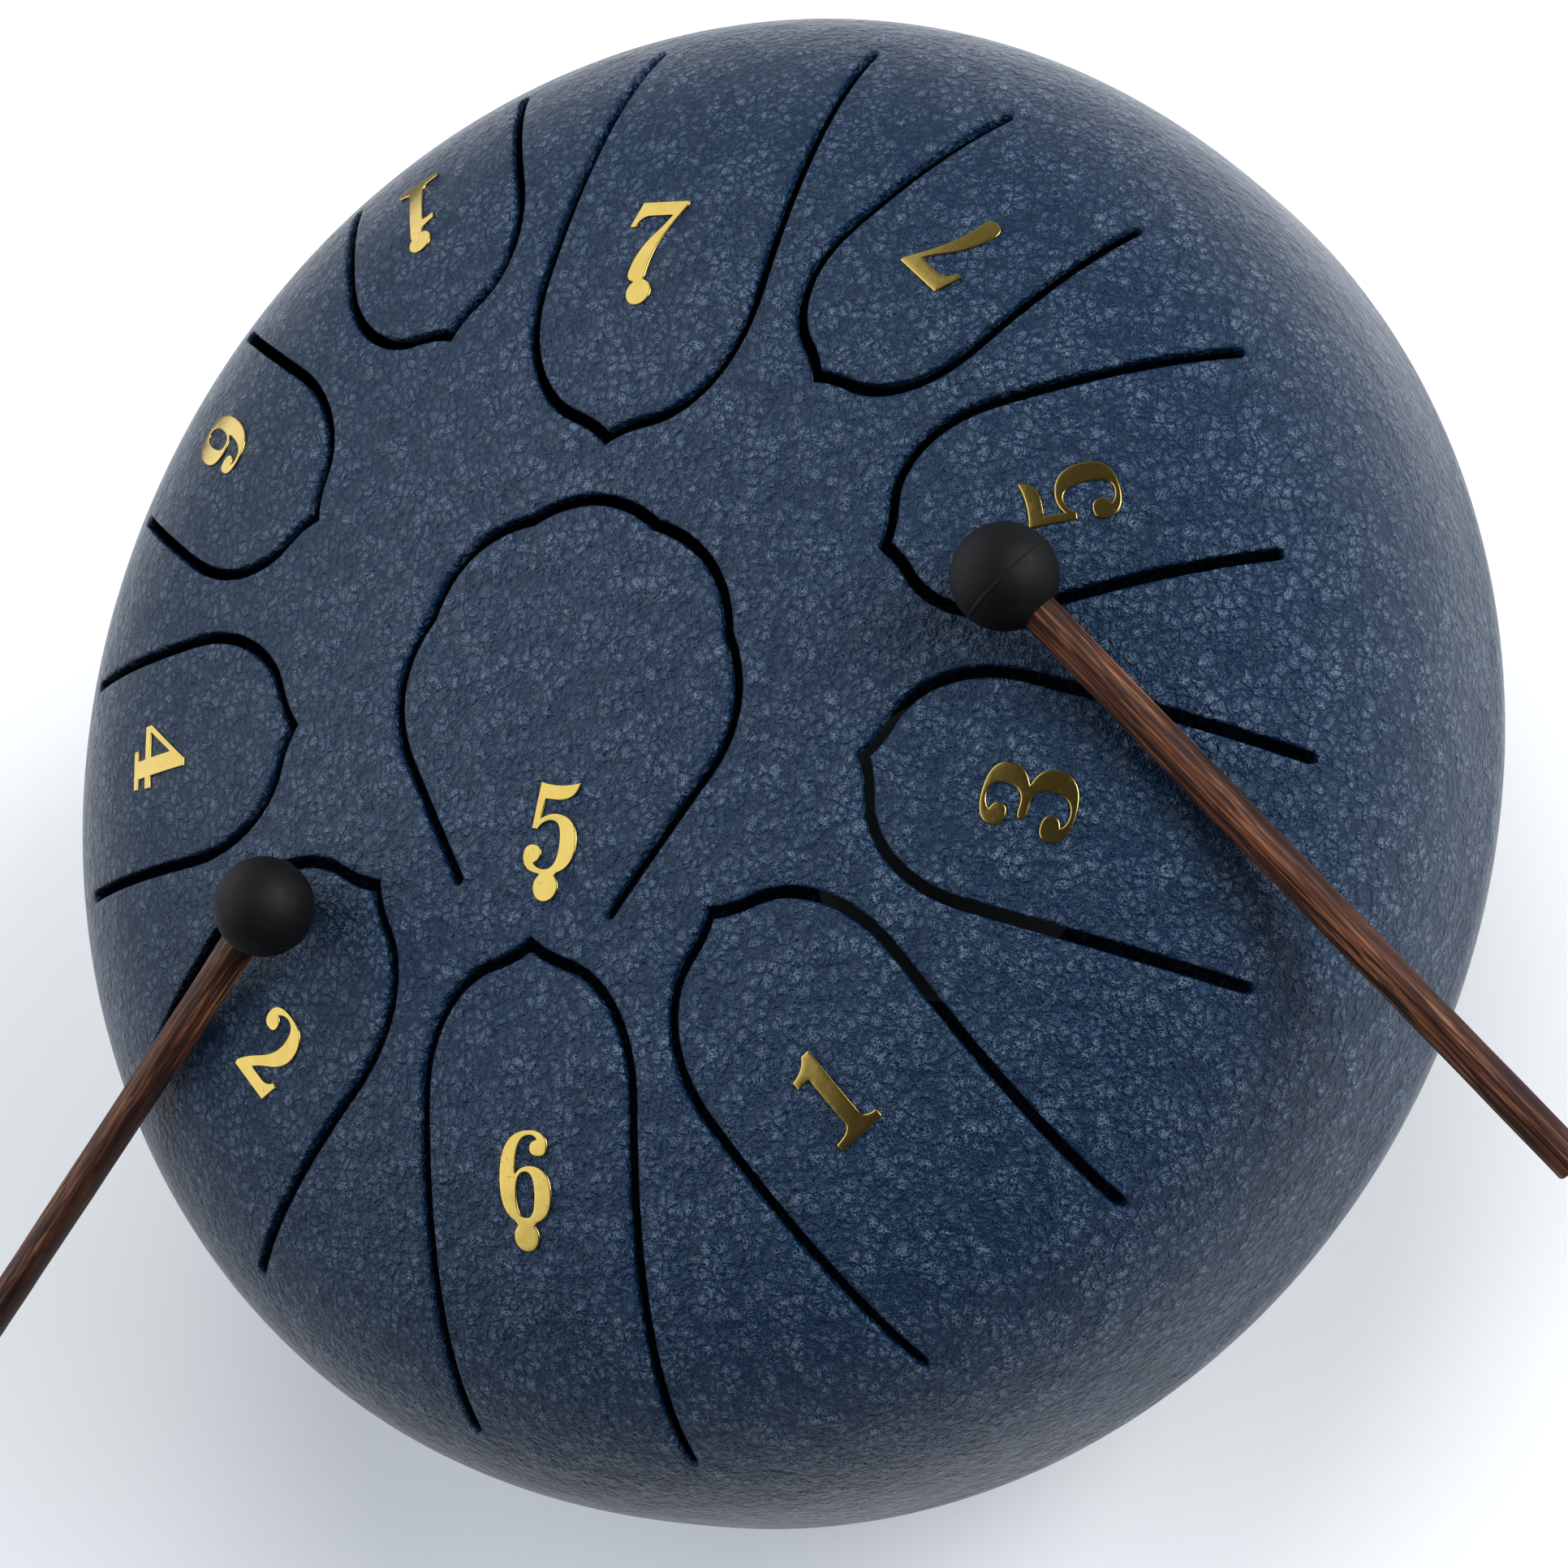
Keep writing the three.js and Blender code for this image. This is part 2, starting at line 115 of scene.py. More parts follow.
# Serif digits drawn 100 units tall from their baseline and 62 wide: (width in mm, outline, hole).
# M moves, L draws a line and Q a quadratic curve.
DIGIT_UNITS = (62, 100)
DIGITS = {
    "1": (8.8, "M 2 0 L 60 0 L 60 9 Q 45 10 44 18 L 44 100 L 33 100 Q 26 88 8 86 L 8 75 Q 18 78 24 76 "
          "L 24 18 Q 22 10 2 9", None),
    "2": (10.2, "M 2 0 L 55 0 L 62 25 L 56 27 Q 51 17 43 17 L 24 17 Q 32 27 43 36 Q 61 52 61 71 "
          "Q 61 100 32 100 Q 5 100 5 80 Q 5 67 15 67 Q 25 67 25 77 Q 25 84 18 87 Q 23 94 31 94 "
          "Q 43 93 42 72 Q 41 54 25 36 Q 8 18 2 6", None),
    "3": (11.4, "M 29 0 Q 60 0 60 28 Q 60 47 43 53 Q 57 60 57 77 Q 57 100 30 100 Q 5 100 5 81 "
          "Q 5 69 15 69 Q 24 69 24 78 Q 24 85 17 88 Q 21 94 29 94 Q 40 93 40 76 Q 40 59 28 58 L 20 58 "
          "Q 15 58 15 53 Q 15 48 20 48 L 28 48 Q 42 48 42 28 Q 42 7 28 6 Q 19 6 16 12 Q 24 14 24 22 "
          "Q 24 32 13 32 Q 3 32 3 20 Q 3 0 29 0", None),
    "4": (10.6, "M 22 0 L 62 0 L 62 8 L 52 9 L 52 23 L 64 23 L 64 34 L 52 34 L 52 100 L 44 100 L 0 35 "
          "L 0 23 L 33 23 L 33 9 L 22 8", "M 33 34 L 33 72 L 8 34"),
    "5": (10.2, "M 12 100 Q 34 93 57 100 Q 55 80 34 80 L 20 81 L 17 60 Q 24 66 34 66 Q 60 64 60 33 "
          "Q 60 0 28 0 Q 2 0 2 20 Q 2 32 12 32 Q 22 32 22 22 Q 22 15 15 12 Q 19 6 28 6 Q 41 7 41 33 "
          "Q 41 58 30 58 Q 20 58 15 48 L 8 49", None),
    "6": (10.2, "M 31 0 Q 60 0 60 32 Q 60 62 37 62 Q 26 62 20 53 Q 20 94 37 94 Q 42 94 44 90 "
          "Q 36 88 36 81 Q 36 72 46 72 Q 56 72 56 83 Q 56 100 37 100 Q 2 100 2 46 Q 2 0 31 0",
          "M 31 7 Q 41 7 41 31 Q 41 55 32 55 Q 21 55 21 31 Q 21 7 31 7"),
    "7": (10.4, "M 10 100 L 62 100 L 62 95 Q 44 62 38 40 Q 34 22 34 9 Q 34 0 24 0 Q 14 0 14 11 "
          "Q 16 36 31 57 Q 41 70 47 82 L 24 82 Q 13 82 9 68 L 2 69", None),
}

# The camera stands over the drum's +X -Y side and its top leans towards +Y.
CAMERA_AZIMUTH = -27.41
CAMERA_REACH = 348 * MM
CAMERA_HEIGHT = 540.8 * MM
CAMERA_AIM = (-0.6 * MM, -1.5 * MM)
CAMERA_UP = (0.1349, 0.969, 0.2071)
CAMERA_LENS = 86.05

# The studio's light: the way to the middle of each part of it, its power, its tint, and how bright it is
# against the cosine of the angle away from its middle. The first two are windows. The last is the room
# itself: dark round its middle, which is over the camera's side, and brighter far from there.
STUDIO_GLOWS = [
    {"angle": 158, "elevation": 34, "power": 2.35, "tint": (0.93, 1.0, 1.08),
     "stops": [(0.6, 0.0), (0.67, 0.25), (0.75, 0.75), (0.84, 1.0)]},
    {"angle": 12, "elevation": 20, "power": 11, "tint": (0.93, 1.0, 1.08),
     "stops": [(0.87, 0.0), (0.94, 0.5), (0.975, 1.0)]},
    {"angle": -60, "elevation": 60, "power": 1.15, "tint": (0.96, 1.0, 1.05),
     "stops": [(0.0, 0.42), (0.2, 0.25), (0.45, 0.09), (1.0, 0.05)]},
]
# The lamps that whiten the floor: the way to each, its distance, its width and its power in watts.
LAMPS = [
    {"name": "high_lamp", "angle": 60, "elevation": 50, "distance": 1.6, "size": 0.9, "power": 16},
    {"name": "low_lamp", "angle": 22, "elevation": 24, "distance": 1.6, "size": 0.6, "power": 26},
]

# The floor is pale inside the first radius from its middle, and dark outside the second.
FLOOR_HALF_WIDTH = 6.0
FLOOR_MIDDLE = (-0.07, 0.04, 0)
FLOOR_PALE_RADIUS = 0.265
FLOOR_DARK_RADIUS = 0.5


# ---------------------------------------------------------------- bowls

def plan_point(angle, distance, sideways=0.0):
    a = math.radians(angle)
    return np.array([
        distance * math.cos(a) - sideways * math.sin(a),
        distance * math.sin(a) + sideways * math.cos(a),
    ])


class Bowl:
    """A bowl's outer face: its height, its normal and the distance along it from the axis."""

    def __init__(self, shape, sign):
        self.shape, self.sign = shape, sign
        turn = np.linspace(math.pi / 2, 0, 4001)
        self.r = SHELL_RADIUS * np.cos(turn) ** (2 / shape["across"])
        self.z = shape["depth"] * np.sin(turn) ** (2 / shape["up"])
        self.r[0] = 0
        steps = np.hypot(np.diff(self.r), np.diff(self.z))
        self.along = np.concatenate([[0], np.cumsum(steps)])

    def at(self, along, angle, depth=0.0):
        """Points on the bowl, and below its outer face by depth along the normal."""
        r = np.interp(along, self.along, self.r)
        z = np.interp(along, self.along, self.z)
        across = self.shape["across"] / SHELL_RADIUS * (r / SHELL_RADIUS) ** (self.shape["across"] - 1)
        up = self.shape["up"] / self.shape["depth"] * (z / self.shape["depth"]) ** (self.shape["up"] - 1)
        length = np.hypot(across, up)
        r = r - depth * across / length
        z = z - depth * up / length
        return np.stack([r * np.cos(angle), r * np.sin(angle), EQUATOR + self.sign * z], axis=-1)

    def plan_to_along(self, points):
        """Plan points as (distance along the bowl from the axis, angle)."""
        r = np.hypot(points[:, 0], points[:, 1])
        return np.interp(r, self.r, self.along), np.arctan2(points[:, 1], points[:, 0])

    def height(self, r):
        return float(np.interp(r, self.r, self.z))

    def along_at_radius(self, r):
        return float(np.interp(r, self.r, self.along))

    def along_at_height(self, z):
        return float(np.interp(-z, -self.z, self.along))

    def radius_at_height(self, z):
        return float(np.interp(-z, -self.z, self.r))


top_bowl = Bowl(TOP_BOWL, 1)
bottom_bowl = Bowl(BOTTOM_BOWL, -1)


def flat(along, angle):
    """The bowl unrolled onto a disc: (distance along it, angle) as flat coordinates."""
    return np.stack([along * np.cos(angle), along * np.sin(angle)], axis=-1)


# ---------------------------------------------------------------- lines and outlines

def quadratic(a, b, c, steps):
    t = np.linspace(0, 1, steps + 1)[1:, None]
    return (1 - t) ** 2 * a + 2 * t * (1 - t) * b + t ** 2 * c


def cubic(a, b, c, d, steps):
    t = np.linspace(0, 1, steps + 1)[1:, None]
    return (1 - t) ** 3 * a + 3 * t * (1 - t) ** 2 * b + 3 * t ** 2 * (1 - t) * c + t ** 3 * d


def tongue_line(angle, tip, ends, half_width):
    """A ring tongue's slit: an ogee tip between two straight sides."""
    waist = np.array([0.17, 0.36])
    shoulder = np.array([1.25, 1.0])
    ogee = quadratic(np.zeros(2), np.array([0.1, 0.12]), waist, 5)
    round_side = cubic(waist, np.array([0.25, 0.66]), np.array([0.62, 1.0]), shoulder, 16)

    def slit(end, side):
        reach = np.array([(end - tip) / half_width, 1.0])
        steps = round((reach[0] - shoulder[0]) * half_width / 2)
        straight = shoulder + (reach - shoulder) * np.linspace(0, 1, steps + 1)[1:, None]
        points = np.concatenate([np.zeros((1, 2)), ogee, round_side, straight])
        return [plan_point(angle, tip + x * half_width, side * y * half_width) for x, y in points]

    right, left = slit(ends[0], -1), slit(ends[1], 1)
    return np.array(right[:0:-1] + left) * MM


def centre_tongue_line():
    reach = 2.5 * CENTRE_SCALLOP_ANGLE
    from_tip = np.linspace(-reach, reach, 101)
    edge = CENTRE_RADIUS + CENTRE_SCALLOP * np.abs(np.cos(np.pi * from_tip / CENTRE_SCALLOP_ANGLE))
    turn = np.radians(from_tip)
    leaf = np.stack([-edge * np.cos(turn), edge * np.sin(turn)], axis=-1)
    along = np.linspace(0, 1, 11)[1:, None]
    right, left = (point + (np.array(end) - point) * along
                   for point, end in zip((leaf[0], leaf[-1]), CENTRE_NECK_ENDS))
    line = np.concatenate([right[::-1], leaf, left])
    return np.array([plan_point(CENTRE_ANGLE, x, y) for x, y in line]) + CENTRE_PLACE


def strip(line, half_width, cap_steps=6):
    """A closed outline round a line at a distance, with round ends.

    How many points it has never depends on the width.
    """
    before = np.vstack([line[:1], line[:-1]])
    after = np.vstack([line[1:], line[-1:]])
    towards = after - before
    towards /= np.linalg.norm(towards, axis=1)[:, None]
    incoming = line - before
    incoming[0] = towards[0]
    incoming /= np.linalg.norm(incoming, axis=1)[:, None]
    spread = np.clip(np.abs((towards * incoming).sum(axis=1)), 0.5, 1)
    across = np.stack([-towards[:, 1], towards[:, 0]], axis=-1) / spread[:, None] * half_width

    def cap(point, direction):
        start = math.atan2(direction[1], direction[0]) + math.pi / 2
        turns = [start - math.pi * i / cap_steps for i in range(1, cap_steps)]
        return [point + half_width * np.array([math.cos(a), math.sin(a)]) for a in turns]

    left = list(line + across)
    right = list((line - across)[::-1])
    clockwise = left + cap(line[-1], towards[-1]) + right + cap(line[0], -towards[0])
    return np.array(clockwise[::-1])


def digit_outline(text, width, curve_steps=8):
    """A digit's outline in metres, from its path text."""
    unit = np.array([width / DIGIT_UNITS[0], DIGIT_HEIGHT / DIGIT_UNITS[1]])
    counts = {"M": 2, "L": 2, "Q": 4}
    words = text.split()
    points = []
    i = 0
    while i < len(words):
        kind = words[i]
        values = np.array([float(v) for v in words[i + 1:i + 1 + counts[kind]]]).reshape(-1, 2) * unit
        if kind == "Q":
            points.extend(quadratic(points[-1], values[0], values[1], curve_steps))
        else:
            points.append(values[0])
        i += 1 + counts[kind]
    if np.linalg.norm(points[0] - points[-1]) < 1e-7:
        points.pop()
    return np.array(points)


def join_dot(outline, centre, radius):
    """An outline joined with a disc that overlaps it in one place."""
    inside = np.linalg.norm(outline - centre, axis=1) < radius
    shift = next(i for i in range(len(outline)) if inside[i - 1] and not inside[i])
    rolled = np.roll(outline, -shift, axis=0)
    kept = rolled[~np.roll(inside, -shift)]
    start, end = (math.atan2(*(kept[i] - centre)[::-1]) for i in (-1, 0))
    turning = 1 if polygon_area(outline) > 0 else -1
    sweep = (end - start) * turning % (2 * math.pi)
    turns = start + turning * np.linspace(0, sweep, 40)
    disc = centre + radius * np.stack([np.cos(turns), np.sin(turns)], axis=-1)
    return np.concatenate([kept, disc])


def polygon_area(points):
    after = np.roll(points, -1, axis=0)
    return 0.5 * float((points[:, 0] * after[:, 1] - points[:, 1] * after[:, 0]).sum())


def resample(points, step):
    """A closed outline with points added so that none of its edges is longer than step."""
    made = []
    for a, b in zip(points, np.roll(points, -1, axis=0)):
        count = max(1, math.ceil(np.linalg.norm(b - a) / step))
        made.extend(a + (b - a) * i / count for i in range(count))
    return np.array(made)


def inset(points, distance):
    """A closed outline moved to the left of its direction by a distance."""
    incoming = points - np.roll(points, 1, axis=0)
    outgoing = np.roll(points, -1, axis=0) - points
    incoming /= np.linalg.norm(incoming, axis=1)[:, None]
    outgoing /= np.linalg.norm(outgoing, axis=1)[:, None]
    towards = incoming + outgoing
    towards /= np.linalg.norm(towards, axis=1)[:, None]
    spread = np.clip((towards * incoming).sum(axis=1), 0.6, 1)
    across = np.stack([-towards[:, 1], towards[:, 0]], axis=-1)
    return points + across / spread[:, None] * distance


# ---------------------------------------------------------------- meshes

def add_mesh(name, points, faces, smooth=True):
    mesh = bpy.data.meshes.new(name)
    mesh.from_pydata([tuple(map(float, p)) for p in points], [], [tuple(map(int, f)) for f in faces])
    mesh.validate()
    mesh.polygons.foreach_set("use_smooth", [smooth] * len(mesh.polygons))
    mesh.set_sharp_from_angle(angle=math.radians(SHARP_ANGLE))
    piece = bpy.data.objects.new(name, mesh)
    bpy.context.scene.collection.objects.link(piece)
    return piece


def ring_faces(first, second, count):
    """Quads between two closed rings of points, given by where each ring starts."""
    return [
        (first + i, first + (i + 1) % count, second + (i + 1) % count, second + i)
        for i in range(count)
    ]


def turned_mesh(name, profile, segments, closed=False):
    """A profile of (radius, height) points turned about the Z axis. A radius of 0 makes a pole."""
    points, faces, rings = [], [], []
    for r, z in profile:
        rings.append((len(points), r > 0))
        if r > 0:
            turns = [2 * math.pi * i / segments for i in range(segments)]
            points.extend((r * math.cos(a), r * math.sin(a), z) for a in turns)
        else:
            points.append((0, 0, z))
    pairs = list(zip(rings, rings[1:] + rings[:1] if closed else rings[1:]))
    for (a, a_ring), (b, b_ring) in pairs:
        if a_ring and b_ring:
            faces.extend(ring_faces(a, b, segments))
        elif a_ring or b_ring:
            ring, pole = (a, b) if a_ring else (b, a)
            for i in range(segments):
                edge = (ring + i, ring + (i + 1) % segments)
                faces.append((*(edge if a_ring else edge[::-1]), pole))
    return add_mesh(name, points, faces)


def triangulate(outline_groups, filler):
    """Triangles between outlines and filler points. The first group is the border, the others are holes.

    Returns the points, the triangles and, for each outline, the index of each of its points.
    """
    points, edges, holes = [], [], []
    for number, outline in enumerate(outline_groups):
        start = len(points)
        count = len(outline)
        points.extend(outline)
        edges.extend((start + i, start + (i + 1) % count) for i in range(count))
        if number > 0:
            hole = list(range(start, start + count))
            holes.append(hole if polygon_area(np.array(outline)) > 0 else hole[::-1])
    points.extend(filler)
    coordinates = [Vector((float(x), float(y))) for x, y in points]
    made = delaunay_2d_cdt(coordinates, edges, holes, 0, 1e-9)
    made_points, triangles, sources, face_sources = made[0], made[2], made[3], made[5]
    border = inside_test(np.array(outline_groups[0]))
    kept = []
    for triangle, source in zip(triangles, face_sources):
        if source:
            continue
        middle = sum((made_points[i] for i in triangle), Vector((0, 0))) / 3
        if border(middle):
            kept.append(triangle)
    lookup = {}
    for index, source in enumerate(sources):
        for original in source:
            lookup[original] = index
    numbered, start = [], 0
    for outline in outline_groups:
        numbered.append([lookup[start + i] for i in range(len(outline))])
        start += len(outline)
    return np.array([(p.x, p.y) for p in made_points]), kept, numbered


def inside_test(outline):
    """A test of whether a point is inside a closed outline."""
    a, b = outline, np.roll(outline, -1, axis=0)

    def inside(point):
        crosses = (a[:, 1] > point[1]) != (b[:, 1] > point[1])
        rise = np.where(b[:, 1] == a[:, 1], 1e-12, b[:, 1] - a[:, 1])
        at = a[:, 0] + (point[1] - a[:, 1]) / rise * (b[:, 0] - a[:, 0])
        return bool((crosses & (point[0] < at)).sum() % 2)

    return inside


# ---------------------------------------------------------------- shells

# The slit's edge, from the outer face to the inner one: how far outside the slit, and how deep.
SLIT_EDGE = [
    (0.32 * MM, 0.03 * MM),
    (0.2 * MM, 0.09 * MM),
    (0.09 * MM, 0.19 * MM),
    (0.02 * MM, 0.34 * MM),
    (0, 0.55 * MM),
    (0, 1.6 * MM),
    (0.12 * MM, 1.88 * MM),
]
SLIT_EDGE_START = 0.45 * MM
# How far the dome's points stand off a slit, and how near to one they are tested for lying inside it.
SLIT_CLEARANCE = 0.8 * MM
NEAR_OUTLINE = 6 * MM


def clear_of(filler, outlines, gap):
    """The filler points that stand off every outline by a gap and lie in none of them."""
    kept = filler
    for outline in outlines:
        near = np.full(len(kept), np.inf)
        for start in range(0, len(outline), 64):
            part = outline[start:start + 64]
            away = np.linalg.norm(kept[:, None, :] - part[None, :, :], axis=2)
            near = np.minimum(near, away.min(axis=1))
        inside = inside_test(outline)
        close = near < NEAR_OUTLINE
        in_hole = np.zeros(len(kept), bool)
        in_hole[close] = [inside(p) for p in kept[close]]
        kept = kept[(near > gap) & ~in_hole]
    return kept


def make_top_shell():
    lines = [centre_tongue_line()] + [tongue_line(*tongue) for tongue in TONGUES]
    edge_along = top_bowl.along_at_height(weld_high.z - EQUATOR)
    turns = np.arange(TURNED_SEGMENTS) * 2 * math.pi / TURNED_SEGMENTS
    border = flat(np.full(TURNED_SEGMENTS, edge_along), turns)
    holes = []
    for line in lines:
        outline = strip(line, SLIT_WIDTH / 2 + SLIT_EDGE_START)
        holes.append(flat(*top_bowl.plan_to_along(outline)))
    filler = [np.zeros((1, 2))]
    rings = round(edge_along / MESH_STEP)
    for ring in range(1, rings):
        along = edge_along * ring / rings
        count = max(6, round(2 * math.pi * along / MESH_STEP / 1.1))
        angles = (np.arange(count) + 0.5 * (ring % 2)) * 2 * math.pi / count
        filler.append(flat(np.full(count, along), angles))
    filler = clear_of(np.concatenate(filler), holes, SLIT_CLEARANCE)
    points, triangles, numbered = triangulate([border] + holes, filler)

    along, angle = np.hypot(points[:, 0], points[:, 1]), np.arctan2(points[:, 1], points[:, 0])
    outer = top_bowl.at(along, angle)
    inner = top_bowl.at(along, angle, SHELL_THICKNESS)
    mesh_points = [outer, inner]
    inner_start = len(outer)
    total = 2 * len(outer)
    faces = list(triangles)
    faces += [tuple(i + inner_start for i in reversed(triangle)) for triangle in triangles]
    rim = numbered[0]
    for i in range(len(rim)):
        a, b = rim[i], rim[(i + 1) % len(rim)]
        faces.append((b, a, a + inner_start, b + inner_start))
    for line, ring in zip(lines, numbered[1:]):
        previous = list(ring)
        for outside, depth in SLIT_EDGE:
            outline = strip(line, SLIT_WIDTH / 2 + outside)
            mesh_points.append(top_bowl.at(*top_bowl.plan_to_along(outline), depth))
            current = list(range(total, total + len(outline)))
            total += len(outline)
            faces += bridge(previous, current)
            previous = current
        faces += bridge(previous, [i + inner_start for i in ring])
    piece = add_mesh("top_shell_fine", np.concatenate(mesh_points), faces)
    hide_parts("top_shell")
    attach(piece, "drum")
    return piece


def bridge(first, second):
    """Quads between two closed rings of point numbers."""
    count = len(first)
    return [
        (first[i], first[(i + 1) % count], second[(i + 1) % count], second[i])
        for i in range(count)
    ]


def make_bottom_shell():
    edge_along = bottom_bowl.along_at_height(EQUATOR - weld_low.z)
    hole_along = bottom_bowl.along_at_radius(SOUND_HOLE_RADIUS)
    steps = 60
    outer, inner = [], []
    for i in range(steps + 1):
        along = edge_along + (hole_along - edge_along) * i / steps
        r, _, z = bottom_bowl.at(along, 0.0)
        outer.append((r, z))
        r, _, z = bottom_bowl.at(along, 0.0, SHELL_THICKNESS)
        inner.append((r, z))
    r, z = outer[-1]
    lip = [
        (r - 0.35 * MM, z + 0.1 * MM),
        (r - 0.6 * MM, z + 0.4 * MM),
        (r - 0.6 * MM, z + 1.5 * MM),
        (r - 0.35 * MM, z + 1.85 * MM),
    ]
    profile = outer + lip + inner[::-1]
    piece = turned_mesh("bottom_shell_fine", profile[::-1], TURNED_SEGMENTS, closed=True)
    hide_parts("bottom_shell")
    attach(piece, "drum")
    return piece


def make_weld():
    """The weld bead: ground flush with the bowls outside, a rounded bead inside."""
    top_edge, bottom_edge = weld_high.z, weld_low.z
    inside = SHELL_RADIUS - WELD_DEPTH
    middle = SHELL_RADIUS - 0.75 * WELD_DEPTH
    lower_r = bottom_bowl.radius_at_height(EQUATOR - bottom_edge)
    profile = [
        (SHELL_RADIUS, top_edge),
        (SHELL_RADIUS, EQUATOR),
        (lower_r, bottom_edge),
        (middle, bottom_edge),
        (inside + 0.2 * MM, EQUATOR - 0.5 * MM),
        (inside, EQUATOR),
        (inside + 0.2 * MM, EQUATOR + 0.5 * MM),
        (middle, top_edge),
    ]
    piece = turned_mesh("equator_weld_fine", profile[::-1], TURNED_SEGMENTS, closed=True)
    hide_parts("equator_weld")
    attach(piece, "drum")
    return piece


FOOT_SEGMENTS = 64
FOOT_GAP = 0.05 * MM


def make_foot(node):
    """A moulded rubber foot whose top follows the bowl."""
    low, high = (Vector(c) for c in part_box(node))
    centre = (low + high) / 2
    radius = (high.x - low.x) / 2
    profile = [
        (radius - 1.4 * MM, 0.0),
        (radius - 0.7 * MM, 0.12 * MM),
        (radius - 0.2 * MM, 0.5 * MM),
        (radius, 1.1 * MM),
    ]
    turns = [2 * math.pi * i / FOOT_SEGMENTS for i in range(FOOT_SEGMENTS)]

    def ring(r, height):
        return [(centre.x + r * math.cos(a), centre.y + r * math.sin(a), height) for a in turns]

    def bowl_ring(r, gap):
        found = []
        for x, y, _ in ring(r, 0):
            found.append((x, y, EQUATOR - bottom_bowl.height(math.hypot(x, y)) - gap))
        return found

    rings = [ring(radius * k, 0.0) for k in (0.3, 0.6)]
    rings += [ring(r, z) for r, z in profile]
    rings += [bowl_ring(radius - 0.5 * MM, 1.0 * MM), bowl_ring(radius - 0.9 * MM, FOOT_GAP)]
    rings += [bowl_ring(radius * k, FOOT_GAP) for k in (0.6, 0.3)]
    points = [p for one in rings for p in one]
    faces = []
    for i in range(len(rings) - 1):
        faces += ring_faces(i * FOOT_SEGMENTS, (i + 1) * FOOT_SEGMENTS, FOOT_SEGMENTS)
    bottom_pole, top_pole = len(points), len(points) + 1
    points.append((centre.x, centre.y, 0))
    top_height = EQUATOR - bottom_bowl.height(math.hypot(centre.x, centre.y)) - FOOT_GAP
    points.append((centre.x, centre.y, top_height))
    last = (len(rings) - 1) * FOOT_SEGMENTS
    for i in range(FOOT_SEGMENTS):
        after = (i + 1) % FOOT_SEGMENTS
        faces.append((bottom_pole, after, i))
        faces.append((top_pole, last + i, last + after))
    piece = add_mesh(node + "_fine", points, faces)
    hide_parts(node)
    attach(piece, "drum")
    return piece


# ---------------------------------------------------------------- stickers

# The foil's edge, from its foot to its flat face: how far inside the outline, and how high, as a share
# of the foil's thickness.
FOIL_EDGE = [
    (0, 0),
    (0, 0.5),
    (0.05 * MM, 0.8),
    (0.14 * MM, 0.97),
]
FOIL_FACE_INSET = 0.24 * MM
FOIL_LIFT = 0.03 * MM
FOIL_EDGE_STEP = 0.45 * MM
FOIL_FACE_STEP = 0.7 * MM
FOIL_CLEARANCE = 0.35 * MM
STICKER_REACH = 12 * MM


def make_sticker(node, digit, angle, distance, top_points, dot):
    width_mm, outline_text, hole_text = DIGITS[digit]
    width = width_mm * MM
    outlines = [digit_outline(outline_text, width)]
    if dot:
        height = -DOT_OFFSET if dot == "below" else DIGIT_HEIGHT + DOT_OFFSET
        outlines[0] = join_dot(outlines[0], np.array([width / 2, height]), DOT_RADIUS)
    if hole_text:
        outlines.append(digit_outline(hole_text, width))
    # The material is on the left of each outline's direction.
    for i, outline in enumerate(outlines):
        if (polygon_area(outline) > 0) != (i == 0):
            outlines[i] = outline[::-1]
    outlines = [resample(o, FOIL_EDGE_STEP) - np.array([width, DIGIT_HEIGHT]) / 2 for o in outlines]

    place, right, up = sticker_place(angle, distance, top_points)

    def on_bowl(points, lift):
        flat_points = place + points[:, :1] * right + points[:, 1:2] * up
        along, turn = top_bowl.plan_to_along(flat_points[:, :2])
        return top_bowl.at(along, turn, -lift)

    face_rings = [inset(o, FOIL_FACE_INSET) for o in outlines]
    grid = np.arange(-STICKER_REACH, STICKER_REACH, FOIL_FACE_STEP)
    filler = np.array([(x, y) for x in grid for y in grid])
    inside = inside_test(face_rings[0])
    filler = np.array([p for p in filler if inside(p)])
    filler = clear_of_lines(filler, face_rings, FOIL_CLEARANCE)
    if len(face_rings) > 1:
        in_hole = inside_test(face_rings[1])
        filler = [p for p in filler if not in_hole(p)]
    points, triangles, numbered = triangulate(face_rings, list(filler))

    mesh_points = [on_bowl(points, FOIL_LIFT + STICKER_THICKNESS), on_bowl(points, FOIL_LIFT)]
    count = len(points)
    faces = list(triangles) + [tuple(i + count for i in reversed(t)) for t in triangles]
    total = 2 * count
    for outline, ring in zip(outlines, numbered):
        previous = [i + count for i in ring]
        for inwards, share in FOIL_EDGE:
            ring_points = inset(outline, inwards)
            mesh_points.append(on_bowl(ring_points, FOIL_LIFT + share * STICKER_THICKNESS))
            current = list(range(total, total + len(ring_points)))
            total += len(ring_points)
            faces += bridge(previous, current)
            previous = current
        faces += bridge(previous, list(ring))
    piece = add_mesh(node + "_fine", np.concatenate(mesh_points), faces)
    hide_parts(node)
    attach(piece, "drum")
    return piece


def clear_of_lines(filler, outlines, gap):
    """The filler points that stand off every outline by a gap."""
    kept = np.array(filler)
    for outline in outlines:
        away = np.linalg.norm(kept[:, None, :] - outline[None, :, :], axis=2).min(axis=1)
        kept = kept[away > gap]
    return kept


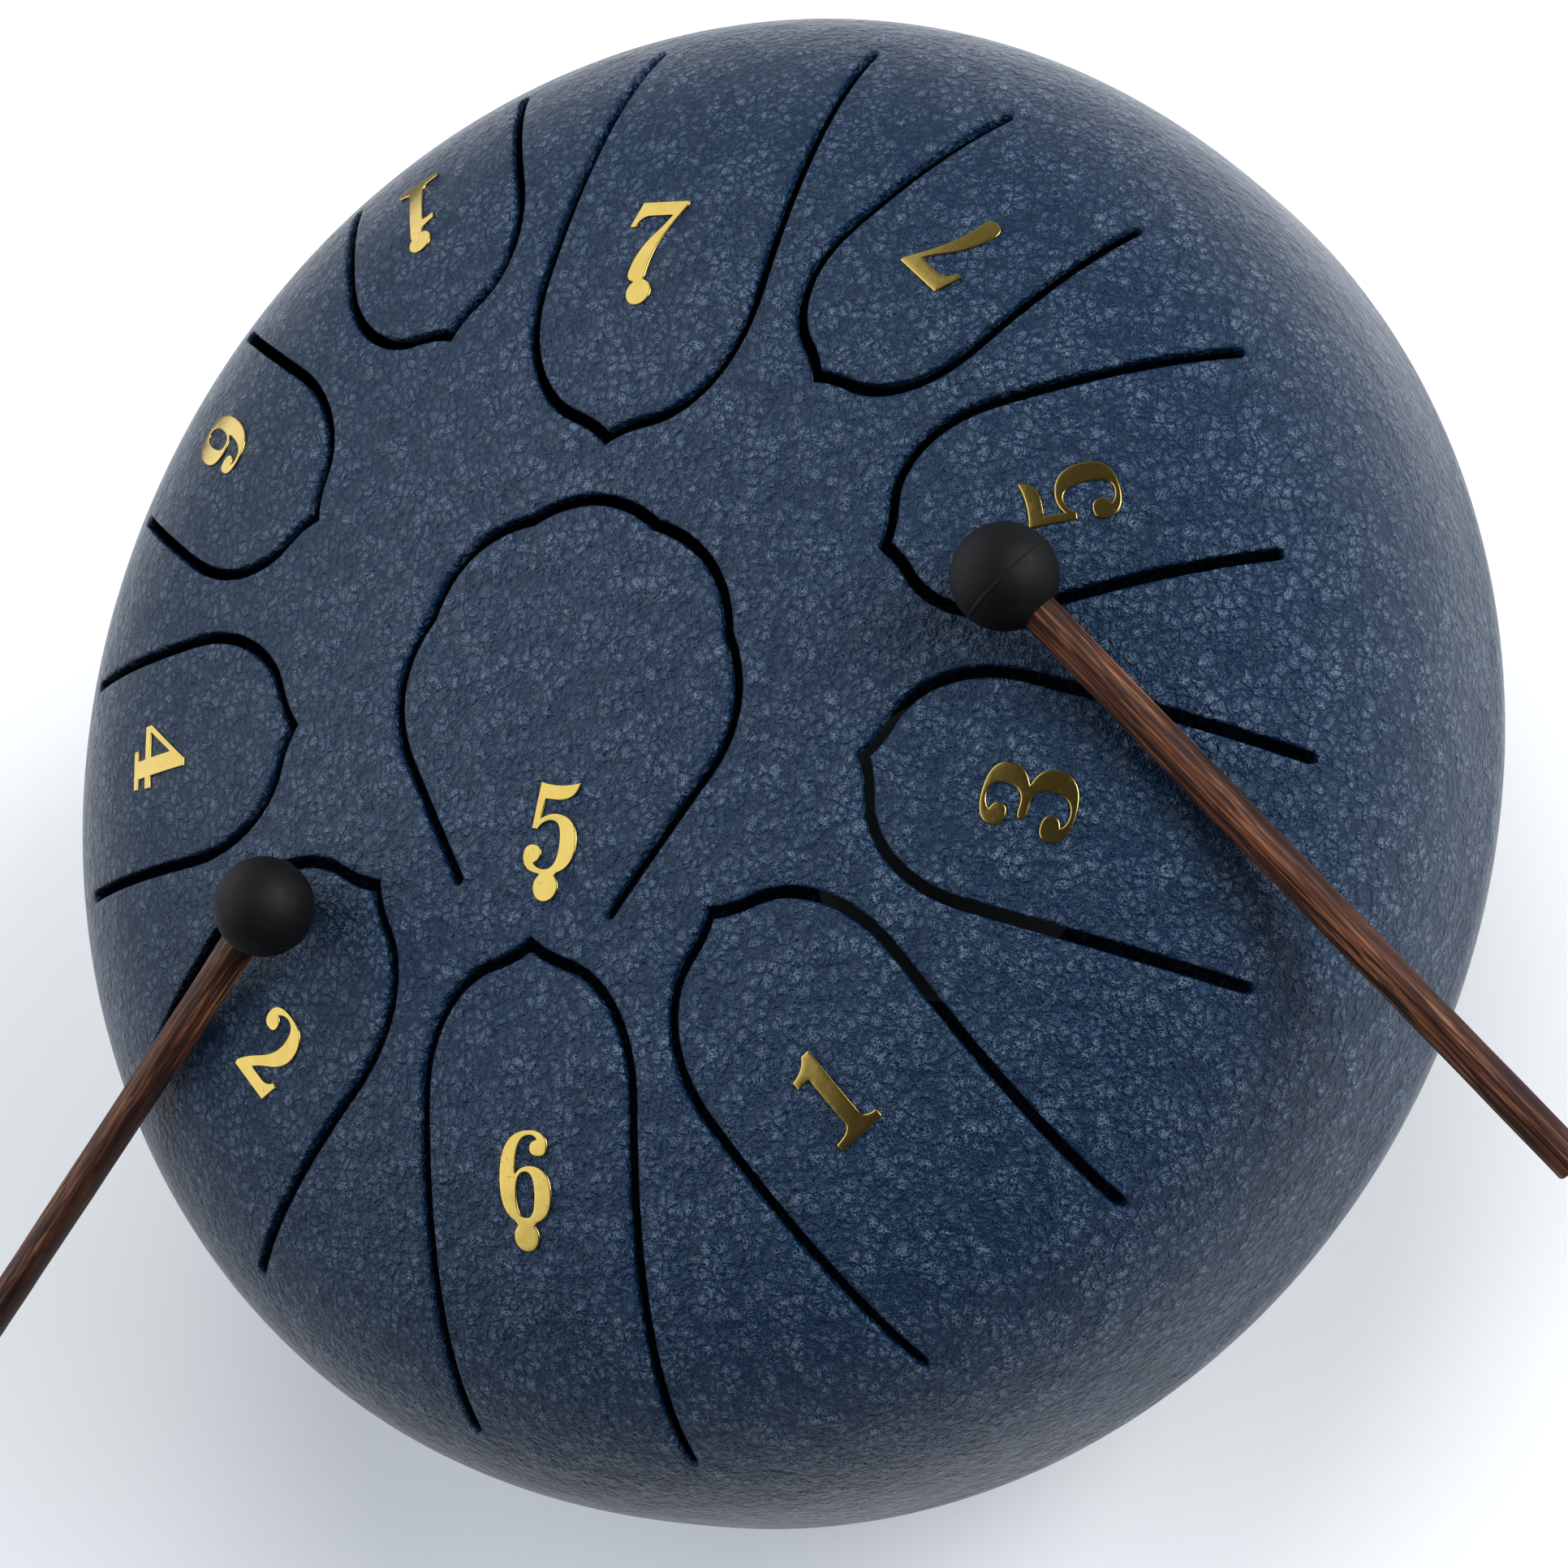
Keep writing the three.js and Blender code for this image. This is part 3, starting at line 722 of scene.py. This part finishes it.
def sticker_place(angle, distance_mm, top_points):
    """Where a sticker's middle lies on the bowl, with its right and its up there."""
    distance = distance_mm * MM
    along = top_bowl.along_at_radius(distance)
    turn = math.radians(angle)
    place = top_bowl.at(along, turn)
    normal = Vector(place - top_bowl.at(along, turn, 1 * MM)).normalized()
    top = Vector((*plan_point(top_points, 1), 0))
    right = top.cross(normal).normalized()
    up = normal.cross(right)
    return place, np.array(right), np.array(up)


# ---------------------------------------------------------------- mallets

HEAD_RADIUS = 8 * MM
HEAD_BORE_RADIUS = 3.0 * MM
HEAD_BORE_DEPTH = 3.2 * MM
HEAD_PARTING_ANGLE = 84
HEAD_STEPS = 90
HEAD_SEGMENTS = 96

# The stick's ends are measured along it from the head's centre.
STICK_RADIUS = 2.9 * MM
STICK_START = -3 * MM
STICK_END = 116.5 * MM
STICK_STEPS = 40
STICK_SEGMENTS = 48


def mallet_axes(side):
    """A frame with its origin at the head's centre and its Z axis along the stick."""
    head_low, head_high = (Vector(c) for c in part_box(f"{side}_mallet_head"))
    stick_low, stick_high = (Vector(c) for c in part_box(f"{side}_mallet_stick"))
    head = (head_low + head_high) / 2
    along = ((stick_low + stick_high) / 2 - head).normalized()
    sideways = Vector((0, 0, 1)).cross(along).normalized()
    upwards = along.cross(sideways)
    turn = Matrix((sideways, upwards, along)).transposed()
    return Matrix.Translation(head) @ turn.to_4x4()


def make_head(side):
    """A moulded rubber ball with a parting line and a rounded mouth round the stick."""
    mouth = math.asin((HEAD_BORE_RADIUS + 0.5 * MM) / HEAD_RADIUS)
    mouth_height = HEAD_RADIUS * math.cos(mouth)
    profile = [
        (0, -HEAD_BORE_DEPTH),
        (HEAD_BORE_RADIUS, -HEAD_BORE_DEPTH),
        (HEAD_BORE_RADIUS, mouth_height - 0.35 * MM),
        (HEAD_BORE_RADIUS + 0.12 * MM, mouth_height - 0.08 * MM),
    ]
    for i in range(HEAD_STEPS + 1):
        turn = mouth + (math.pi - mouth) * i / HEAD_STEPS
        from_parting = (math.degrees(turn) - HEAD_PARTING_ANGLE) / 1.3
        proud = 0.09 * MM * math.exp(-from_parting ** 2)
        proud -= 0.05 * MM * math.exp(-(from_parting - 2) ** 2)
        r = HEAD_RADIUS + proud
        profile.append((0 if i == HEAD_STEPS else r * math.sin(turn), r * math.cos(turn)))
    piece = turned_mesh(f"{side}_mallet_head_fine", profile[::-1], HEAD_SEGMENTS)
    piece.data.transform(mallet_axes(side))
    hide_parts(f"{side}_mallet_head")
    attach(piece, f"{side}_mallet")
    return piece


def make_stick(side):
    """A turned dowel with softened ends. Its grain runs along its own Z axis."""
    profile = [
        (0, STICK_START),
        (STICK_RADIUS - 0.6 * MM, STICK_START),
        (STICK_RADIUS - 0.15 * MM, STICK_START + 0.2 * MM),
        (STICK_RADIUS, STICK_START + 0.7 * MM),
    ]
    for i in range(1, STICK_STEPS):
        along = STICK_START + (STICK_END - STICK_START) * i / STICK_STEPS
        wobble = 0.02 * MM * math.sin(along * 190) + 0.012 * MM * math.sin(along * 431 + 1)
        profile.append((STICK_RADIUS + wobble - 0.02 * MM, along))
    profile += [
        (STICK_RADIUS, STICK_END - 0.5 * MM),
        (STICK_RADIUS - 0.12 * MM, STICK_END - 0.15 * MM),
        (STICK_RADIUS - 0.4 * MM, STICK_END),
        (0, STICK_END),
    ]
    piece = turned_mesh(f"{side}_mallet_stick_fine", profile, STICK_SEGMENTS)
    add_length_coordinates(piece, "grain")
    piece.data.transform(mallet_axes(side))
    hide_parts(f"{side}_mallet_stick")
    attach(piece, f"{side}_mallet")
    return piece


def add_length_coordinates(piece, name):
    """Keeps each point's place before the piece is turned, so that the wood's grain can follow it."""
    kept = piece.data.attributes.new(name, "FLOAT_VECTOR", "POINT")
    values = np.zeros(len(piece.data.vertices) * 3, np.float32)
    piece.data.vertices.foreach_get("co", values)
    kept.data.foreach_set("vector", values)


# ---------------------------------------------------------------- materials

class Nodes:
    """A short way to write a material's nodes."""

    def __init__(self, name):
        self.material = bpy.data.materials.new(name)
        self.material.use_nodes = True
        self.tree = self.material.node_tree
        self.shader = self.tree.nodes["Principled BSDF"]

    def add(self, kind, inputs=None, **settings):
        node = self.tree.nodes.new(kind)
        for key, value in settings.items():
            setattr(node, key, value)
        for key, value in (inputs or {}).items():
            self.set(node.inputs[key], value)
        return node

    def set(self, socket, value):
        if isinstance(value, bpy.types.NodeSocket):
            self.tree.links.new(value, socket)
        else:
            socket.default_value = value

    def noise(self, vector, scale, detail=2.0, roughness=0.5, distortion=0.0):
        node = self.add("ShaderNodeTexNoise", {
            "Vector": vector, "Scale": scale, "Detail": detail,
            "Roughness": roughness, "Distortion": distortion,
        })
        return node.outputs["Fac"]

    def ramp(self, factor, stops):
        node = self.add("ShaderNodeValToRGB", {"Fac": factor})
        set_stops(node.color_ramp, stops)
        return node.outputs["Color"]

    def math(self, operation, *values):
        node = self.add("ShaderNodeMath", operation=operation)
        for socket, value in zip(node.inputs, values):
            self.set(socket, value)
        return node.outputs["Value"]

    def mix(self, factor, first, second):
        """A mix of two colours. A mix node keeps its colours in inputs 6 and 7 and in output 2."""
        node = self.add("ShaderNodeMix", data_type="RGBA")
        self.set(node.inputs["Factor"], factor)
        self.set(node.inputs[6], first)
        self.set(node.inputs[7], second)
        return node.outputs[2]

    def vector_math(self, operation, *values):
        node = self.add("ShaderNodeVectorMath", operation=operation)
        for socket, value in zip(node.inputs, values):
            self.set(socket, value)
        return node.outputs["Vector"]

    def length(self, vector):
        return self.add("ShaderNodeVectorMath", {0: vector}, operation="LENGTH").outputs["Value"]

    def bump(self, height, distance, strength=1.0, normal=None):
        node = self.add("ShaderNodeBump", {"Height": height, "Distance": distance, "Strength": strength})
        if normal is not None:
            self.set(node.inputs["Normal"], normal)
        return node.outputs["Normal"]

    def place(self):
        return self.add("ShaderNodeTexCoord").outputs["Object"]


def shell_material():
    """Navy powder coat with a leather grain: wrinkles over a satin navy ground, with fine pale flecks on
    the crests that are painted glints.
    """
    n = Nodes("navy_leather_coat")
    place = n.place()
    wander = n.add("ShaderNodeTexNoise", {"Vector": place, "Scale": 420.0, "Detail": 3.0})
    shift = n.vector_math("SUBTRACT", wander.outputs["Color"], (0.5, 0.5, 0.5))
    shifted = n.vector_math("MULTIPLY_ADD", shift, (0.0024, 0.0024, 0.0024), place)
    edges = n.add("ShaderNodeTexVoronoi", {"Vector": shifted, "Scale": 520.0}, feature="DISTANCE_TO_EDGE")
    cell = n.ramp(edges.outputs["Distance"], [(0.0, 0.0), (0.1, 0.6), (0.3, 1.0)])
    grit = n.noise(place, 2200.0, 2.0, 0.6)
    crest = n.ramp(grit, [(0.4, 0.0), (0.5, 1.0), (0.6, 0.0)])
    wrinkle = n.noise(shifted, 760.0, 2.0, 0.6)
    patch = n.noise(place, 210.0, 4.0, 0.6)
    peel = n.bump(patch, 0.0014)
    height = n.math("MULTIPLY_ADD", crest, 0.07, n.math("MULTIPLY", cell, 0.14))
    height = n.math("MULTIPLY_ADD", wrinkle, 0.75, height)
    n.set(n.shader.inputs["Normal"], n.bump(height, 0.0008, normal=peel))

    # The pale flecks are painted glints: light caught by the grain's crests, put into the colour. The same
    # flecks are also made glossier.
    cluster = n.ramp(patch, [(0.36, 0.45), (0.62, 1.0)])
    pale = n.math("MULTIPLY", n.math("MULTIPLY", crest, cell), cluster)
    colour = n.ramp(pale, [
        (0.0, (0.0008, 0.010, 0.032)),
        (0.3, (0.0025, 0.028, 0.066)),
        (1.0, (0.170, 0.215, 0.280)),
    ])
    n.set(n.shader.inputs["Base Color"], colour)
    n.set(n.shader.inputs["Roughness"], n.ramp(pale, [(0.0, 0.26), (0.8, 0.15)]))
    n.shader.inputs["Specular IOR Level"].default_value = 0.2
    return n.material


def rubber_material(name, colour, roughness, grain):
    """Matte moulded rubber with a fine grain and dusty patches."""
    n = Nodes(name)
    place = n.place()
    fine = n.noise(place, grain, 3.0, 0.6)
    dust = n.noise(place, 260.0, 5.0, 0.7)
    pale = tuple(1.9 * c for c in colour)
    n.set(n.shader.inputs["Base Color"], n.ramp(dust, [(0.45, colour), (0.8, pale)]))
    n.set(n.shader.inputs["Roughness"], n.ramp(dust, [(0.3, roughness - 0.06), (0.8, roughness + 0.12)]))
    n.set(n.shader.inputs["Normal"], n.bump(fine, 0.00006, 0.7))
    n.shader.inputs["Specular IOR Level"].default_value = 0.15
    return n.material


def wood_material():
    """Dark brown wood whose long streaks and pores run along the stick."""
    n = Nodes("streaked_wood")
    along = n.add("ShaderNodeAttribute", attribute_name="grain").outputs["Vector"]
    stretched = n.vector_math("MULTIPLY", along, (1.0, 1.0, 0.035))
    streak = n.noise(stretched, 1800.0, 3.0, 0.6, 0.15)
    bands = n.noise(stretched, 520.0, 3.0, 0.6, 0.3)
    patches = n.noise(n.vector_math("MULTIPLY", along, (1.0, 1.0, 0.3)), 160.0, 3.0, 0.6)
    pores_place = n.vector_math("MULTIPLY", along, (1.0, 1.0, 0.05))
    pores = n.ramp(n.noise(pores_place, 2300.0, 2.0, 0.5), [(0.36, 0.0), (0.46, 1.0)])
    mixed = n.math("MULTIPLY_ADD", bands, 0.4, n.math("MULTIPLY", streak, 0.7))
    mixed = n.math("MULTIPLY_ADD", patches, 0.2, mixed)
    colour = n.ramp(mixed, [
        (0.52, (0.012, 0.0036, 0.0017)),
        (0.62, (0.041, 0.012, 0.006)),
        (0.7, (0.106, 0.036, 0.016)),
        (0.8, (0.255, 0.11, 0.054)),
    ])
    dark = n.mix(pores, (0.018, 0.007, 0.004, 1), colour)
    n.set(n.shader.inputs["Base Color"], dark)
    n.set(n.shader.inputs["Roughness"], n.ramp(streak, [(0.3, 0.5), (0.7, 0.68)]))
    grain = n.math("MULTIPLY_ADD", pores, 0.6, streak)
    n.set(n.shader.inputs["Normal"], n.bump(grain, 0.00012, 0.6))
    n.shader.inputs["Specular IOR Level"].default_value = 0.15
    return n.material


def foil_material():
    """Bright gold foil with a faintly uneven surface and a few dull specks."""
    n = Nodes("gold_foil")
    place = n.place()
    wave = n.noise(place, 240.0, 3.0, 0.6)
    grain = n.noise(place, 4200.0, 2.0, 0.6)
    specks = n.ramp(n.noise(place, 1300.0, 2.0, 0.5), [(0.66, 0.0), (0.74, 1.0)])
    gold = n.ramp(wave, [(0.3, (0.35, 0.24, 0.056)), (0.7, (0.395, 0.28, 0.073))])
    n.set(n.shader.inputs["Base Color"], n.mix(specks, gold, (0.31, 0.2, 0.05, 1)))
    dullness = n.math("MULTIPLY_ADD", grain, 0.08, 0.16)
    n.set(n.shader.inputs["Roughness"], n.math("MULTIPLY_ADD", specks, 0.12, dullness))
    height = n.math("MULTIPLY_ADD", grain, 0.05, wave)
    n.set(n.shader.inputs["Normal"], n.bump(height, 0.0001, 0.35))
    n.shader.inputs["Metallic"].default_value = 1.0
    return n.material


def floor_material():
    """A plain pale floor that darkens far from the drum, with a painted shadow under the drum's sound hole,
    where the drum's shade falls.
    """
    n = Nodes("studio_floor")
    place = n.place()
    tone = n.ramp(n.noise(place, 3.0), [(0.3, (0.66, 0.66, 0.66)), (0.7, (0.69, 0.69, 0.69))])
    # A painted shadow: the floor under the sound hole, which shows through the slits, is darkened in its
    # colour to stand in for the drum's shade.
    hole_shade_black = (0.06, 0.06, 0.065, 1)
    grey = (0.14, 0.14, 0.145, 1)
    hole_shade_mask = n.ramp(n.length(place), [(SOUND_HOLE_RADIUS, 1.0), (1.5 * SOUND_HOLE_RADIUS, 0.0)])
    from_middle = n.length(n.vector_math("SUBTRACT", place, FLOOR_MIDDLE))
    far = n.ramp(from_middle, [(FLOOR_PALE_RADIUS, 0.0), (FLOOR_DARK_RADIUS, 1.0)])
    n.set(n.shader.inputs["Base Color"], n.mix(far, n.mix(hole_shade_mask, tone, hole_shade_black), grey))
    n.shader.inputs["Roughness"].default_value = 0.7
    n.shader.inputs["Specular IOR Level"].default_value = 0.0
    return n.material


# ---------------------------------------------------------------- stage

def make_floor():
    half = FLOOR_HALF_WIDTH
    corners = [(-half, -half, 0), (half, -half, 0), (half, half, 0), (-half, half, 0)]
    floor = add_mesh("floor", corners, [(0, 1, 2, 3)], smooth=False)
    floor.data.materials.append(floor_material())
    return floor


def make_lamps(floor):
    """Soft lamps that whiten the floor and shine on nothing else. The studio around lights the drum."""
    lit = bpy.data.collections.new("lit_by_lamps")
    lit.objects.link(floor)
    for lamp in LAMPS:
        data = bpy.data.lights.new(lamp["name"], "AREA")
        data.shape = "DISK"
        data.size = lamp["size"]
        data.energy = lamp["power"]
        light = bpy.data.objects.new(lamp["name"], data)
        light.location = direction(lamp["angle"], lamp["elevation"]) * lamp["distance"]
        light.rotation_euler = (-light.location).to_track_quat("-Z", "Y").to_euler()
        light.light_linking.receiver_collection = lit
        bpy.context.scene.collection.objects.link(light)


def direction(angle, elevation):
    rise = math.radians(elevation)
    return Vector((*(plan_point(angle, math.cos(rise))), math.sin(rise)))


def make_world():
    """A dark studio with two bright windows. Where its parts overlap, the brightest of them shows."""
    world = bpy.data.worlds.new("studio")
    bpy.context.scene.world = world
    world.use_nodes = True
    tree = world.node_tree
    background = tree.nodes["Background"]
    towards = tree.nodes.new("ShaderNodeTexCoord").outputs["Generated"]
    glow = None
    for lit in STUDIO_GLOWS:
        dot = vector_node(tree, "DOT_PRODUCT", towards, direction(lit["angle"], lit["elevation"]))
        ramp = tree.nodes.new("ShaderNodeValToRGB")
        set_stops(ramp.color_ramp, lit["stops"])
        tree.links.new(dot.outputs["Value"], ramp.inputs["Fac"])
        shade = [lit["power"] * part for part in lit["tint"]]
        coloured = vector_node(tree, "MULTIPLY", ramp.outputs["Color"], shade).outputs["Vector"]
        if glow is not None:
            coloured = vector_node(tree, "MAXIMUM", coloured, glow).outputs["Vector"]
        glow = coloured
    tree.links.new(glow, background.inputs["Color"])


def vector_node(tree, operation, first, second):
    node = tree.nodes.new("ShaderNodeVectorMath")
    node.operation = operation
    tree.links.new(first, node.inputs[0])
    if isinstance(second, bpy.types.NodeSocket):
        tree.links.new(second, node.inputs[1])
    else:
        node.inputs[1].default_value = second
    return node


def set_stops(ramp, stops):
    """Sets a colour ramp's stops. A stop's value is a colour, or one number for a grey."""
    while len(ramp.elements) < len(stops):
        ramp.elements.new(0.5)
    for element, (position, colour) in zip(ramp.elements, stops):
        element.position = position
        shade = colour if isinstance(colour, tuple) else (colour,) * 3
        element.color = (*shade, 1)


def make_camera():
    data = bpy.data.cameras.new("camera")
    data.lens = CAMERA_LENS
    data.sensor_width = 36
    data.clip_start = 0.01
    camera = bpy.data.objects.new("camera", data)
    reach = plan_point(CAMERA_AZIMUTH, CAMERA_REACH)
    place = Vector((reach[0], reach[1], EQUATOR + CAMERA_HEIGHT))
    ahead = (Vector((*CAMERA_AIM, EQUATOR)) - place).normalized()
    right = ahead.cross(Vector(CAMERA_UP)).normalized()
    up = right.cross(ahead)
    turn = Matrix((right, up, -ahead)).transposed()
    camera.matrix_world = Matrix.Translation(place) @ turn.to_4x4()
    bpy.context.scene.collection.objects.link(camera)
    bpy.context.scene.camera = camera


# ---------------------------------------------------------------- the scene

def paint(pieces, material):
    for piece in pieces:
        piece.data.materials.append(material)


make_camera()
make_world()
make_lamps(make_floor())

foot_rubber = rubber_material("foot_rubber", (0.02, 0.02, 0.02), 0.62, 2500)
mallet_rubber = rubber_material("mallet_rubber", (0.0025, 0.0024, 0.0025), 0.6, 3000)
sides = ("right", "left")

paint([make_top_shell(), make_bottom_shell(), make_weld()], shell_material())
paint([make_foot(f"foot_{i}") for i in (1, 2, 3)], foot_rubber)
paint([make_sticker(*sticker) for sticker in STICKERS], foil_material())
paint([make_head(side) for side in sides], mallet_rubber)
paint([make_stick(side) for side in sides], wood_material())

bpy.context.scene.view_settings.view_transform = "Standard"
